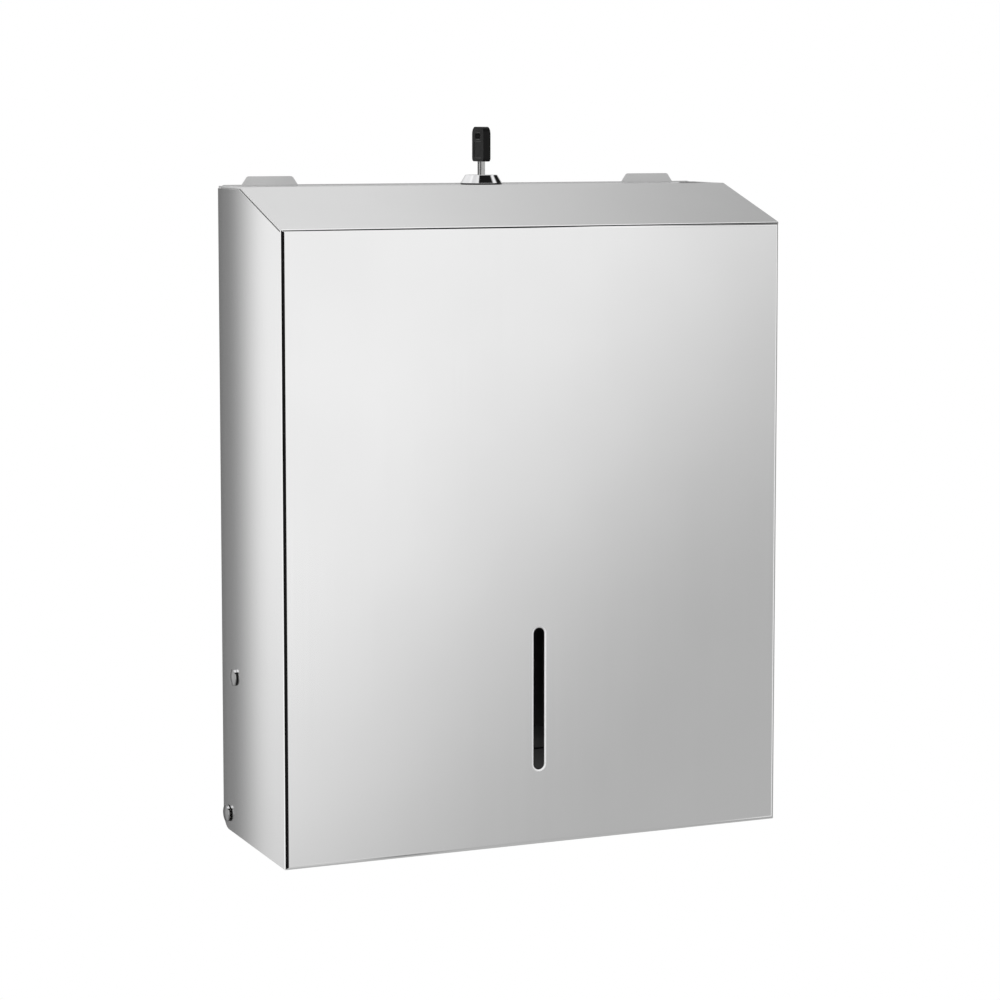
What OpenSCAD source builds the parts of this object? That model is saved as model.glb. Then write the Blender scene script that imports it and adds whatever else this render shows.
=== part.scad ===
// Wall-mounted dispenser for folded paper towels, in polished sheet steel.
// A back plate with a towel tray stays on the wall. The cover swings forward on two pivots
// near its lower rear corners, two bolts in arc slots limit the swing, and a cam lock holds it shut.
// Millimetres. The wall is the plane y = 0, the front faces -Y and z = 0 is half the cover's height.

/* [Cover] */
// Width over the side panels
cover_w = 280; // [230:1:340]
// Height from the lower edge to the flat top
cover_h = 344; // [300:1:420]
// Depth from the wall to the face of the front panel
cover_d = 104; // [98:1:130]
// Thickness of the cover sheet
sheet_t = 1; // [0.7:0.1:1.5]
// Inside radius of the cover's bends
bend_r = 1.4; // [0.4:0.1:2]
// Height that the sloped top rises above the front panel
slope_rise = 20; // [10:1:32]
// Depth of the flat top, from the wall to its front bend
flat_depth = 38.5; // [36:0.5:50]
// Radius of the lower rear corners, which are centred on the pivots
corner_r = 9; // [7.5:0.5:12]
// Depth of the fold along the lower edge of the front panel
hem_d = 10; // [4:1:16]

/* [Level window] */
// Width of the slot that shows how many towels are left
window_w = 6; // [4:0.5:12]
// Length of the slot, end to end
window_l = 75; // [30:1:110]
// Height of the slot's centre above the cover's lower edge
window_rise = 77.5; // [60:0.5:140]

/* [Back plate] */
// Thickness of the back plate
plate_t = 1.2; // [0.8:0.1:2]
// Radius of the back plate's corners
plate_corner_r = 2; // [1:0.5:4]
// Depth of the stiffening flange along each side
flange_d = 14; // [6:1:22]
// Distance of the stiffening flanges from the cheeks below and the flat top above
flange_end = 10; // [4:1:30]
// Height of the plate's upper edge above the flat top
plate_rise = 0.4; // [0.4:0.2:3]
// Distance of each upright tab from the plate's side
tab_edge = 11.5; // [6:0.5:60]
// Width of an upright tab at its root
tab_w = 31; // [20:0.5:45]
// Height of an upright tab above the plate's upper edge
tab_h = 4.4; // [2.4:0.2:8]
// Inward slant of each side of a tab
tab_slant = 3; // [1:0.5:6]
// Radius of a tab's upper corners
tab_corner_r = 1.8; // [0.6:0.1:2]
// Diameter of the holes for the wall screws
wall_hole_d = 6.5; // [4:0.5:9]
// Distance between the wall screws across the width
wall_hole_x = 180; // [120:5:210]
// Distance between the wall screws up the height
wall_hole_z = 220; // [160:5:250]

/* [Towel tray] */
// Thickness of the tray sheet
tray_t = 1.2; // [0.8:0.1:1.6]
// Gap between the fold of the front panel and the tray's floor
hem_gap = 1.6; // [1:0.1:3]
// Height of the lip along the tray's front
lip_h = 14; // [8:1:26]
// Gap between the tray's front lip and the front panel
lip_gap = 7; // [5:0.5:14]
// Height of the flange that is riveted to the back plate
tray_flange_h = 24; // [16:1:40]
// Width of the towel outlet
outlet_w = 180; // [100:1:200]
// Depth of the towel outlet
outlet_d = 50; // [30:1:60]
// Corner radius of the towel outlet
outlet_r = 10; // [3:1:14]
// Height of the outlet's rim above the cover's lower edge
rim_inset = 0.4; // [0.2:0.1:1]

/* [Rivets] */
// Diameter of the rivets in the tray and the strike
rivet_d = 3.2; // [2.4:0.1:4]
// Width of a rivet's domed head beyond its shank
rivet_lip = 1.3; // [0.8:0.1:2]
// Height of a rivet's domed head
rivet_head_h = 1.1; // [0.6:0.1:1.6]
// Distance of the outer tray rivets from the tray's cheeks
rivet_edge = 36; // [10:1:40]
// Distance between the inner tray rivets
rivet_spacing = 80; // [30:1:120]

/* [Pivots and stops] */
// Angle through which the cover opens
open_angle = 50; // [30:1:60]
// Distance of the stop bolts from the wall
stop_inset = 22.5; // [22:0.5:34]
// Height of the stop bolts above the cover's lower edge
stop_rise = 85; // [70:0.5:94]
// Gap between a side panel and the tray's cheek beside it
cheek_gap = 1.6; // [1.2:0.1:3]
// Width of sheet left outside the arc slot
cheek_margin = 6; // [3:0.5:9]
// Diameter of the bolts' threaded ends
thread_d = 4; // [3:0.1:5]
// Width of the step from a bolt's thread to its shoulder
shoulder_step = 0.5; // [0.3:0.1:0.8]
// Wall thickness of the pivot bushes
bush_wall = 0.9; // [0.6:0.1:1.4]
// Width of a pivot bush's flange
bush_lip = 2.5; // [1.5:0.1:3]
// Width of a bolt's head beyond a pivot bush
head_lip = 1; // [0.5:0.1:1.6]
// Height of a bolt's domed head
head_h = 2.2; // [1.5:0.1:3]
// Height of the straight rim of a bolt's head
head_rim = 0.7; // [0.3:0.1:1]
// Wall thickness of the sleeves on the stop bolts
sleeve_wall = 1.5; // [1:0.1:2]
// Width of a keeper washer beyond its sleeve
keeper_lip = 3; // [2:0.1:4]
// Thickness of a keeper washer
keeper_t = 1; // [0.6:0.1:1.6]
// Wall thickness of the nuts at their flats
nut_wall = 1.5; // [1.2:0.1:2]
// Height of the nuts
nut_h = 3.2; // [2.4:0.1:4]

/* [Key] */
// Width of the key's blade
key_blade_w = 5.4; // [4.8:0.1:6]
// Thickness of the key's blade
key_blade_t = 2.2; // [1.6:0.1:2.6]
// Length of blade that shows between the lock and the head
key_neck = 7.2; // [4:0.2:14]
// Length of the blade's pointed tip
key_tip = 1.8; // [1:0.1:3]
// Width of the blade's blunt end
key_tip_w = 1; // [0.6:0.1:1.6]
// Side of the square that makes a cut in the blade
key_cut = 1; // [0.6:0.1:1.4]
// Length of blade held inside the head
key_held = 9; // [6:0.5:11]
// Width of the key's plastic head
key_head_w = 16; // [12:0.5:22]
// Thickness of plastic on each face of the blade
key_skin = 1; // [0.7:0.1:1.5]
// Radius of the head's upper corners
key_head_r = 4; // [2:0.5:5]
// Radius of the head's lower corners
key_foot_r = 2; // [1:0.5:3]
// Length of the slot in the head for a key ring
ring_slot_l = 7.6; // [4:0.1:8]
// Width of the slot in the head for a key ring
ring_slot_w = 3.6; // [2.4:0.1:4.4]
// Height of plastic between the blade and the ring slot
key_web = 2.8; // [1.5:0.1:4]
// Height of plastic above the ring slot
ring_margin = 3.2; // [2.5:0.1:5]

/* [Lock] */
// Number of wafers in the plug
wafer_count = 4; // [2:1:5]
// Distance between wafers
wafer_pitch = 3.2; // [2.4:0.1:4]
// Thickness of a wafer
wafer_t = 1; // [0.6:0.1:1.4]
// Width of a wafer's frame round the key
wafer_wall = 1.6; // [1.2:0.1:2]
// Depth of the first wafer below the plug's head
wafer_first = 2.6; // [1.6:0.1:4]
// Thickness of plug left at a wafer's corners
plug_skin = 0.5; // [0.3:0.1:1]
// Width of the plug's head beyond the plug
plug_lip = 1; // [0.6:0.1:1.4]
// Height of the plug's head
plug_head_h = 2; // [1.4:0.1:2.6]
// Thickness of plug between the keyway and the cam screw
plug_floor = 1.6; // [1:0.1:3]
// Wall thickness of the barrel
barrel_wall = 1.9; // [1.5:0.1:2.4]
// Height of the bezel above the flat top
bezel_h = 5.2; // [4:0.1:7]
// Height of the straight foot of the bezel
bezel_foot = 0.9; // [0.4:0.1:1.5]
// Width of the bezel's flat top round the plug
bezel_rim = 1.5; // [1.4:0.1:3]
// Width of the bezel's sloping side
bezel_flare = 2.6; // [1:0.1:3]
// Distance of the bezel from the front bend of the flat top
bezel_edge = 1.3; // [0.4:0.1:4]
// Wall thickness of the barrel's nut at its flats
barrel_nut_wall = 2.5; // [1.8:0.1:3]
// Height of the barrel's nut
barrel_nut_h = 4; // [3:0.1:6]
// Width of the lock washer beyond the nut's flats
lock_washer_lip = 1; // [0.4:0.1:1.4]
// Thickness of the lock washer
lock_washer_t = 0.8; // [0.5:0.1:1.2]

/* [Cam and strike] */
// Side of the square drive between plug and cam
drive_w = 7; // [5:0.1:7.8]
// Width of the cam beside the drive
cam_wall = 2.5; // [1.6:0.1:3.2]
// Thickness of the cam
cam_t = 2; // [1.4:0.1:3]
// Gap between the cam's tip and the back plate
cam_tip_gap = 4.8; // [3.6:0.1:7]
// Radius of the corners of the cam's tip
cam_corner_r = 2; // [0.5:0.1:3]
// Diameter of the cam screw
screw_d = 3.8; // [3:0.1:4.2]
// Length of the cam screw above the cam's lower face
screw_l = 5; // [3.5:0.5:8]
// Diameter of the cam screw's head
screw_head_d = 8.4; // [6.5:0.1:9.5]
// Height of the cam screw's head
screw_head_h = 2.4; // [1.8:0.1:3.2]
// Width of the slot in the cam screw's head
screw_slot_w = 1.2; // [0.8:0.1:1.6]
// Depth of the slot in the cam screw's head
screw_slot_d = 1.2; // [0.8:0.1:1.4]
// Width of the cam washer beyond the drive
cam_washer_lip = 2; // [1:0.1:2.6]
// Thickness of the cam washer
cam_washer_t = 0.8; // [0.5:0.1:1.2]
// Thickness of the strike that catches the cam
strike_t = 1.5; // [1:0.1:2.2]
// Width of the strike
strike_w = 11; // [8:0.5:16]
// Distance of the strike from the lock's barrel
strike_side_gap = 1; // [0.6:0.1:2]
// Gap between the strike's arm and the cam below it
strike_gap = 2; // [1:0.1:4]
// Length of the strike's lip below the cam
strike_lip = 1; // [0.4:0.1:3]
// Height of the strike's flange on the back plate
strike_flange_h = 26; // [20:1:40]
// Distance between the strike's rivets
strike_rivets_apart = 11; // [8:0.5:14]

/* [Clearances] */
// Gap between the cover's rear edges and the wall
wall_gap = 0.5; // [0.3:0.1:1.5]
// Gap between the flat top's rear edge and the back plate
tab_gap = 0.6; // [0.4:0.1:1.5]
// Gap between the back plate and the side panels
side_gap = 0.8; // [0.5:0.1:1.5]
// Gap between parts that slide past each other
run_gap = 0.4; // [0.3:0.1:0.7]
// Gap round the key's blade
key_clear = 0.3; // [0.2:0.05:0.5]
// Radial clearance of turning pins and plugs in their bores
pin_clear = 0.1; // [0.06:0.02:0.2]
// Clearance of seated parts in their holes
seat_clear = 0.05; // [0.02:0.01:0.1]

/* [Hidden] */
$fn = 64;
arc_steps = 8;
overlap = 0.01;
overcut = 5;

half_w = cover_w / 2;
bottom_z = -cover_h / 2;
top_z = cover_h / 2;
front_y = -cover_d;
rear_y = -wall_gap;
shoulder_z = top_z - slope_rise;
slope_angle = atan2(slope_rise, cover_d - flat_depth);
side_in_x = half_w - sheet_t;
flat_rear_y = -(plate_t + tab_gap);
bend_out_r = bend_r + sheet_t;

pivot_y = rear_y - corner_r;
pivot_z = bottom_z + corner_r;
stop_y = -stop_inset;
stop_z = bottom_z + stop_rise;
stop_radius = norm([pivot_y - stop_y, stop_z - pivot_z]);
stop_angle = atan2(stop_z - pivot_z, stop_y - pivot_y);

thread_r = thread_d / 2;
shoulder_r = thread_r + shoulder_step;
bush_r = shoulder_r + pin_clear + bush_wall;
bush_flange_r = bush_r + bush_lip;
bush_flange_t = cheek_gap - run_gap;
head_r = bush_r + head_lip;
sleeve_r = shoulder_r + sleeve_wall;
slot_r = sleeve_r + run_gap;
keeper_r = sleeve_r + keeper_lip;
nut_af = thread_d + 2 * nut_wall;

plate_half_w = side_in_x - side_gap;
plate_bottom_z = bottom_z + sheet_t;
plate_top_z = top_z + plate_rise;
tab_x = plate_half_w - tab_edge - tab_w / 2;

cheek_out_x = side_in_x - cheek_gap;
cheek_in_x = cheek_out_x - tray_t;
cheek_r = stop_radius + slot_r + cheek_margin;
keeper_x = cheek_in_x - run_gap;
floor_z = bottom_z + sheet_t + hem_gap;
rim_z = bottom_z + rim_inset;
tray_rear_y = -plate_t;
tray_front_y = front_y + sheet_t + lip_gap;
outlet_y = (tray_front_y + tray_rear_y) / 2;

rivet_r = rivet_d / 2;
tray_rivet_z = floor_z + (tray_t + tray_flange_h) / 2;
tray_rivet_x = [-1, 1] * (cheek_in_x - rivet_edge);
tray_rivet_xs = concat(tray_rivet_x, [-1, 1] * rivet_spacing / 2);

keyway = [key_blade_t, key_blade_w] + 2 * [key_clear, key_clear];
wafer = keyway + 2 * [wafer_wall, wafer_wall];
plug_r = norm(wafer) / 2 + plug_skin;
plug_head_r = plug_r + plug_lip;
barrel_r = plug_r + pin_clear + barrel_wall;
bezel_top_r = plug_head_r + pin_clear + bezel_rim;
bezel_r = bezel_top_r + bezel_flare;
lock_y = bezel_r + bezel_edge - flat_depth;
barrel_nut_af = 2 * (barrel_r + barrel_nut_wall);
lock_washer_r = barrel_nut_af / 2 + lock_washer_lip;

bezel_top_z = top_z + bezel_h;
plug_top_z = bezel_top_z - pin_clear;
wafer_top_z = plug_top_z - plug_head_h - wafer_first;
key_tip_z = wafer_top_z - (wafer_count - 1) * wafer_pitch - wafer_t - key_tip;
keyway_end_z = key_tip_z - run_gap;
screw_hole_z = keyway_end_z - plug_floor;
cam_bottom_z = screw_hole_z - run_gap - screw_l;
cam_top_z = cam_bottom_z + cam_t;
barrel_z = cam_top_z + run_gap;
screw_r = screw_d / 2;
cam_w = drive_w + 2 * cam_wall;
cam_len = -lock_y - plate_t - cam_tip_gap;

strike_x1 = -(barrel_r + strike_side_gap);
strike_x0 = strike_x1 - strike_w;
strike_x = (strike_x0 + strike_x1) / 2;
strike_arm_z = cam_top_z + strike_gap;
strike_lip_y = lock_y - cam_w / 2 - run_gap;
strike_foot_z = strike_arm_z - strike_flange_h;
strike_rivet_zs = (strike_arm_z + strike_foot_z) / 2 * [1, 1] + [-1, 1] * strike_rivets_apart / 2;

key_neck_z = plug_top_z + key_neck;
ring_slot_z = key_neck_z + key_held + key_web + ring_slot_w / 2;
key_top_z = ring_slot_z + ring_slot_w / 2 + ring_margin;
key_head_half_t = key_blade_t / 2 + key_skin;

steel = "silver";
bright = "gainsboro";
nylon = "ivory";

// Outlines

function unit(v) = v / norm(v);

// Points of an arc of radius r that rounds the corner b between a and c
function arc_corner(a, b, c, r) =
    let (
        u = unit(a - b),
        w = unit(c - b),
        half = acos(u * w) / 2,
        centre = b + unit(u + w) * r / sin(half),
        first = b + u * r / tan(half) - centre,
        last = b + w * r / tan(half) - centre,
        from = atan2(first.y, first.x),
        sweep = (atan2(last.y, last.x) - from + 540) % 360 - 180
    )
    [for (i = [0:arc_steps]) let (t = from + sweep * i / arc_steps) centre + r * [cos(t), sin(t)]];

// An outline from rows of [point, corner radius]
function rounded(rows) =
    let (n = len(rows))
    [for (i = [0:n - 1])
        each rows[i][1] > 0
            ? arc_corner(rows[(i + n - 1) % n][0], rows[i][0], rows[(i + 1) % n][0], rows[i][1])
            : [rows[i][0]]];

module round_rect(size, r) {
    square(size - [2 * r, 0], center = true);
    square(size - [0, 2 * r], center = true);
    for (sx = [-1, 1], sy = [-1, 1])
        translate([sx * (size.x / 2 - r), sy * (size.y / 2 - r)]) circle(r);
}

module slot_shape(length, width) {
    square([width, length - width], center = true);
    for (s = [-1, 1]) translate([0, s * (length - width) / 2]) circle(width / 2);
}

// Solids along the three axes

// Extrudes a (y, z) outline from x0 to x1
module along_x(x0, x1) translate([x0, 0, 0]) rotate([90, 0, 90]) linear_extrude(x1 - x0) children();

// Extrudes an (x, z) outline from y0 to y1
module along_y(y0, y1) translate([0, y1, 0]) rotate([90, 0, 0]) linear_extrude(y1 - y0) children();

// Extrudes an (x, y) outline from z0 to z1
module along_z(z0, z1) translate([0, 0, z0]) linear_extrude(z1 - z0) children();

module block(low, high) translate(low) cube(high - low);

module rod_x(x0, x1, r, y, z) translate([x0, y, z]) rotate([0, 90, 0]) cylinder(h = x1 - x0, r = r);

module rod_y(y0, y1, r, x, z) translate([x, y1, z]) rotate([90, 0, 0]) cylinder(h = y1 - y0, r = r);

// A rod and a rectangular block on the lock's axis
module lock_rod(z0, z1, r) translate([0, lock_y, z0]) cylinder(h = z1 - z0, r = r);

module lock_block(size, z0, z1) translate([0, lock_y, 0]) along_z(z0, z1) square(size, center = true);

// A hexagonal prism along z, by its width across flats
module hexagon(h, af) cylinder(h = h, d = af / cos(30), $fn = 6);

// A spherical cap on a disc of radius r in the plane x = 0, rising towards -X
module cap_x(r, rise) {
    ball_r = (r * r + rise * rise) / (2 * rise);
    intersection() {
        translate([ball_r - rise, 0, 0]) sphere(ball_r);
        rod_x(-rise - overcut, 0, r, 0, 0);
    }
}

// The same with its disc in the plane y = 0, rising towards -Y
module cap_y(r, rise) rotate([0, 0, 90]) cap_x(r, rise);

module right_side() mirror([1, 0, 0]) children();

// Cover

function cover_outline() = rounded([
    [[rear_y, bottom_z], corner_r],
    [[front_y, bottom_z], bend_out_r],
    [[front_y, shoulder_z], bend_out_r],
    [[-flat_depth, top_z], bend_out_r],
    [[rear_y, top_z], 0]]);

function cover_hollow() =
    let (
        front_in = front_y + sheet_t,
        slant_t = sheet_t / cos(slope_angle),
        corner_z = shoulder_z + sheet_t * tan(slope_angle) - slant_t,
        flat_y = front_y + (slope_rise - sheet_t + slant_t) / tan(slope_angle)
    )
    rounded([
        [[overcut, bottom_z - overcut], 0],
        [[front_y + hem_d, bottom_z - overcut], 0],
        [[front_y + hem_d, bottom_z + sheet_t], 0],
        [[front_in, bottom_z + sheet_t], bend_r],
        [[front_in, corner_z], bend_r],
        [[flat_y, top_z - sheet_t], bend_r],
        [[overcut, top_z - sheet_t], 0]]);

// A side outline across the width, with its vertical front corners rounded in plan
module across_width(outline, x, y, r) intersection() {
    along_x(-x, x) polygon(outline);
    along_z(bottom_z - overcut, top_z + overcut)
        polygon(rounded([[[-x, y], r], [[x, y], r], [[x, overcut], 0], [[-x, overcut], 0]]));
}

module side_hole(r, y, z) for (x = [-1, 1] * half_w) rod_x(x - overcut, x + overcut, r + seat_clear, y, z);

module front_cover() color(steel) difference() {
    across_width(cover_outline(), half_w, front_y, bend_out_r);
    across_width(cover_hollow(), side_in_x, front_y + sheet_t, bend_r);
    block([-side_in_x, flat_rear_y, top_z - 2 * sheet_t], [side_in_x, overcut, top_z + overcut]);
    along_y(front_y - overcut, front_y + sheet_t + overcut)
        translate([0, bottom_z + window_rise]) slot_shape(window_l, window_w);
    lock_rod(top_z - 2 * sheet_t, top_z + overcut, barrel_r + seat_clear);
    side_hole(bush_r, pivot_y, pivot_z);
    side_hole(shoulder_r, stop_y, stop_z);
}

// Back plate

function tab_rows(x) =
    let (z = plate_top_z + tab_h, top_w = tab_w - 2 * tab_slant)
    [[[x + tab_w / 2, plate_top_z], 0],
        [[x + top_w / 2, z], tab_corner_r],
        [[x - top_w / 2, z], tab_corner_r],
        [[x - tab_w / 2, plate_top_z], 0]];

module plate_flange() block(
    [-plate_half_w, -flange_d, pivot_z + cheek_r + flange_end],
    [-plate_half_w + plate_t, 0, top_z - sheet_t - flange_end]);

module plate_holes(r, xs, zs) for (x = xs, z = zs) rod_y(-plate_t - overcut, overcut, r, x, z);

module back_plate() color(steel) difference() {
    union() {
        along_y(-plate_t, 0) polygon(rounded([
            [[-plate_half_w, plate_bottom_z], plate_corner_r],
            [[plate_half_w, plate_bottom_z], plate_corner_r],
            [[plate_half_w, plate_top_z], plate_corner_r],
            each tab_rows(tab_x),
            each tab_rows(-tab_x),
            [[-plate_half_w, plate_top_z], plate_corner_r]]));
        plate_flange();
        right_side() plate_flange();
    }
    plate_holes(wall_hole_d / 2, [-1, 1] * wall_hole_x / 2, [-1, 1] * wall_hole_z / 2);
    plate_holes(rivet_r + seat_clear, tray_rivet_xs, [tray_rivet_z]);
    plate_holes(rivet_r + seat_clear, [strike_x], strike_rivet_zs);
}

// Flush with the wall face behind, with a domed head on the sheet that it grips in front
module flush_rivet(x, z, grip) {
    head_y = -plate_t - grip;
    rod_y(head_y, 0, rivet_r, x, z);
    translate([x, head_y, z]) cap_y(rivet_r + rivet_lip, rivet_head_h);
}

module tray_rivets() color(steel) for (x = tray_rivet_xs) flush_rivet(x, tray_rivet_z, tray_t);

module strike_rivets() color(steel) for (z = strike_rivet_zs) flush_rivet(strike_x, z, strike_t);

// Towel tray

// The slot that a stop sleeve sweeps as the cover opens, as a (y, z) outline
module arc_slot() {
    reach = 2 * stop_radius;
    translate([pivot_y, pivot_z]) {
        intersection() {
            difference() {
                circle(stop_radius + slot_r);
                circle(stop_radius - slot_r);
            }
            polygon([[0, 0], for (i = [0:2]) let (t = stop_angle + open_angle * i / 2)
                reach * [cos(t), sin(t)]]);
        }
        for (t = [stop_angle, stop_angle + open_angle])
            translate(stop_radius * [cos(t), sin(t)]) circle(slot_r);
    }
}

module tray_cheek() difference() {
    along_x(-cheek_out_x, -cheek_in_x) difference() {
        intersection() {
            union() {
                translate([pivot_y, pivot_z]) circle(cheek_r);
                translate([tray_front_y, floor_z]) square([tray_rear_y - tray_front_y, lip_h]);
            }
            translate([tray_front_y, floor_z]) square([tray_rear_y - tray_front_y, 2 * cheek_r]);
        }
        arc_slot();
    }
    rod_x(-cheek_out_x - overcut, -cheek_in_x + overcut, thread_r + seat_clear, pivot_y, pivot_z);
}

module tray_floor() difference() {
    union() {
        block([-cheek_out_x, tray_front_y, floor_z], [cheek_out_x, tray_rear_y, floor_z + tray_t]);
        translate([0, outlet_y, 0]) along_z(rim_z, floor_z + overlap)
            round_rect([outlet_w, outlet_d] + 2 * [tray_t, tray_t], outlet_r + tray_t);
    }
    translate([0, outlet_y, 0]) along_z(floor_z - overcut, floor_z + overcut)
        round_rect([outlet_w, outlet_d], outlet_r);
}

module tray_flange() difference() {
    block([-cheek_out_x, tray_rear_y - tray_t, floor_z],
        [cheek_out_x, tray_rear_y, floor_z + tray_flange_h]);
    plate_holes(rivet_r + seat_clear, tray_rivet_xs, [tray_rivet_z]);
}

module towel_tray() color(steel) {
    tray_floor();
    tray_flange();
    block([-cheek_out_x, tray_front_y, floor_z], [cheek_out_x, tray_front_y + tray_t, floor_z + lip_h]);
    tray_cheek();
    right_side() tray_cheek();
}

// Pivots and stops of the left side

module bolt_head(seat_x, y, z) {
    rod_x(seat_x - head_rim, seat_x, head_r, y, z);
    translate([seat_x - head_rim, y, z]) cap_x(head_r, head_h - head_rim);
}

module hex_nut(x0, y, z) difference() {
    translate([x0, y, z]) rotate([0, 90, 0]) hexagon(nut_h, nut_af);
    rod_x(x0 - overcut, x0 + nut_h + overcut, thread_r + seat_clear, y, z);
}

module pivot_bolt() color(bright) {
    seat_x = -half_w - run_gap;
    bolt_head(seat_x, pivot_y, pivot_z);
    rod_x(seat_x, -cheek_out_x, shoulder_r, pivot_y, pivot_z);
    rod_x(-cheek_out_x, -cheek_in_x + nut_h, thread_r, pivot_y, pivot_z);
}

module pivot_nut() color(bright) hex_nut(-cheek_in_x, pivot_y, pivot_z);

module pivot_bush() color(nylon) difference() {
    union() {
        rod_x(-half_w, -side_in_x, bush_r, pivot_y, pivot_z);
        rod_x(-side_in_x, -side_in_x + bush_flange_t, bush_flange_r, pivot_y, pivot_z);
    }
    rod_x(-half_w - overcut, -side_in_x + overcut, shoulder_r + pin_clear, pivot_y, pivot_z);
}

module stop_bolt() color(bright) {
    bolt_head(-half_w, stop_y, stop_z);
    rod_x(-half_w, -keeper_x, shoulder_r, stop_y, stop_z);
    rod_x(-keeper_x, -keeper_x + keeper_t + nut_h, thread_r, stop_y, stop_z);
}

module stop_sleeve() color(nylon) difference() {
    rod_x(-side_in_x, -keeper_x, sleeve_r, stop_y, stop_z);
    rod_x(-side_in_x - overcut, -keeper_x + overcut, shoulder_r + seat_clear, stop_y, stop_z);
}

module stop_keeper() color(bright) difference() {
    rod_x(-keeper_x, -keeper_x + keeper_t, keeper_r, stop_y, stop_z);
    rod_x(-keeper_x - overcut, -keeper_x + overcut, thread_r + seat_clear, stop_y, stop_z);
}

module stop_nut() color(bright) hex_nut(-keeper_x + keeper_t, stop_y, stop_z);

// Lock

module lock_barrel() color(bright) difference() {
    union() {
        lock_rod(top_z, top_z + bezel_foot, bezel_r);
        translate([0, lock_y, top_z + bezel_foot])
            cylinder(h = bezel_h - bezel_foot, r1 = bezel_r, r2 = bezel_top_r);
        lock_rod(barrel_z, top_z + overlap, barrel_r);
    }
    lock_rod(barrel_z - overcut, bezel_top_z + overcut, plug_r + pin_clear);
    lock_rod(plug_top_z - plug_head_h - pin_clear, bezel_top_z + overcut, plug_head_r + pin_clear);
}

module lock_washer() color(bright) difference() {
    lock_rod(top_z - sheet_t - lock_washer_t, top_z - sheet_t, lock_washer_r);
    lock_rod(top_z - sheet_t - overcut, top_z, barrel_r + seat_clear);
}

module lock_nut() color(bright) difference() {
    nut_z = top_z - sheet_t - lock_washer_t - barrel_nut_h;
    translate([0, lock_y, nut_z]) hexagon(barrel_nut_h, barrel_nut_af);
    lock_rod(nut_z - overcut, top_z, barrel_r + seat_clear);
}

module lock_plug() color("darkgray") difference() {
    union() {
        lock_rod(plug_top_z - plug_head_h, plug_top_z, plug_head_r);
        lock_rod(cam_top_z, plug_top_z - plug_head_h + overlap, plug_r);
        lock_block([drive_w, drive_w], cam_bottom_z, cam_top_z + overlap);
    }
    lock_block(keyway, keyway_end_z, plug_top_z + overcut);
    for (i = [0:wafer_count - 1]) {
        slot_z = wafer_top_z - i * wafer_pitch + seat_clear;
        lock_block([wafer.x + 2 * seat_clear, 4 * plug_r], slot_z - wafer_t - 2 * seat_clear, slot_z);
    }
    lock_rod(cam_bottom_z - overcut, screw_hole_z, screw_r + seat_clear);
}

module lock_wafers() color("goldenrod") for (i = [0:wafer_count - 1]) {
    wafer_z = wafer_top_z - i * wafer_pitch;
    difference() {
        lock_block(wafer, wafer_z - wafer_t, wafer_z);
        lock_block(keyway, wafer_z - wafer_t - overcut, wafer_z + overcut);
    }
}

module lock_cam() color(bright) difference() {
    union() {
        lock_rod(cam_bottom_z, cam_top_z, cam_w / 2);
        translate([0, lock_y, 0]) along_z(cam_bottom_z, cam_top_z) polygon(rounded([
            [[-cam_w / 2, 0], 0],
            [[cam_w / 2, 0], 0],
            [[cam_w / 2, cam_len], cam_corner_r],
            [[-cam_w / 2, cam_len], cam_corner_r]]));
    }
    lock_block([drive_w, drive_w] + 2 * [seat_clear, seat_clear],
        cam_bottom_z - overcut, cam_top_z + overcut);
}

module cam_washer() color(bright) difference() {
    lock_rod(cam_bottom_z - cam_washer_t, cam_bottom_z, drive_w / 2 + cam_washer_lip);
    lock_rod(cam_bottom_z - overcut, cam_bottom_z + overcut, screw_r + seat_clear);
}

module cam_screw() color(bright) difference() {
    seat_z = cam_bottom_z - cam_washer_t;
    foot_z = seat_z - screw_head_h;
    union() {
        lock_rod(foot_z, seat_z, screw_head_d / 2);
        lock_rod(seat_z - overlap, cam_bottom_z + screw_l, screw_r);
    }
    lock_block([screw_slot_w, 2 * screw_head_d], foot_z - overcut, foot_z + screw_slot_d);
}

module lock_strike() color(steel) difference() {
    along_x(strike_x0, strike_x1) polygon([
        [-plate_t, strike_arm_z + strike_t],
        [strike_lip_y - strike_t, strike_arm_z + strike_t],
        [strike_lip_y - strike_t, cam_bottom_z - strike_lip],
        [strike_lip_y, cam_bottom_z - strike_lip],
        [strike_lip_y, strike_arm_z],
        [-plate_t - strike_t, strike_arm_z],
        [-plate_t - strike_t, strike_foot_z],
        [-plate_t, strike_foot_z]]);
    plate_holes(rivet_r + seat_clear, [strike_x], strike_rivet_zs);
}

// Key

// The blade's outline as (y, z), with its tip and one row of cuts
module blade_outline() translate([lock_y, 0]) difference() {
    polygon([
        [-key_blade_w / 2, key_neck_z + key_held],
        [key_blade_w / 2, key_neck_z + key_held],
        [key_blade_w / 2, key_tip_z + key_tip],
        [key_tip_w / 2, key_tip_z],
        [-key_tip_w / 2, key_tip_z],
        [-key_blade_w / 2, key_tip_z + key_tip]]);
    for (i = [0:wafer_count - 1])
        translate([key_blade_w / 2, wafer_top_z - i * wafer_pitch - wafer_t / 2])
            rotate(45) square(key_cut, center = true);
}

module key_blade() color(bright) along_x(-key_blade_t / 2, key_blade_t / 2) blade_outline();

module key_head() color("black") difference() {
    along_x(-key_head_half_t, key_head_half_t) translate([lock_y, 0]) difference() {
        polygon(rounded([
            [[-key_head_w / 2, key_neck_z], key_foot_r],
            [[key_head_w / 2, key_neck_z], key_foot_r],
            [[key_head_w / 2, key_top_z], key_head_r],
            [[-key_head_w / 2, key_top_z], key_head_r]]));
        translate([0, ring_slot_z]) rotate(90) slot_shape(ring_slot_l, ring_slot_w);
    }
    lock_block([key_blade_t, key_blade_w], key_neck_z - overcut, key_neck_z + key_held);
}

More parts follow.
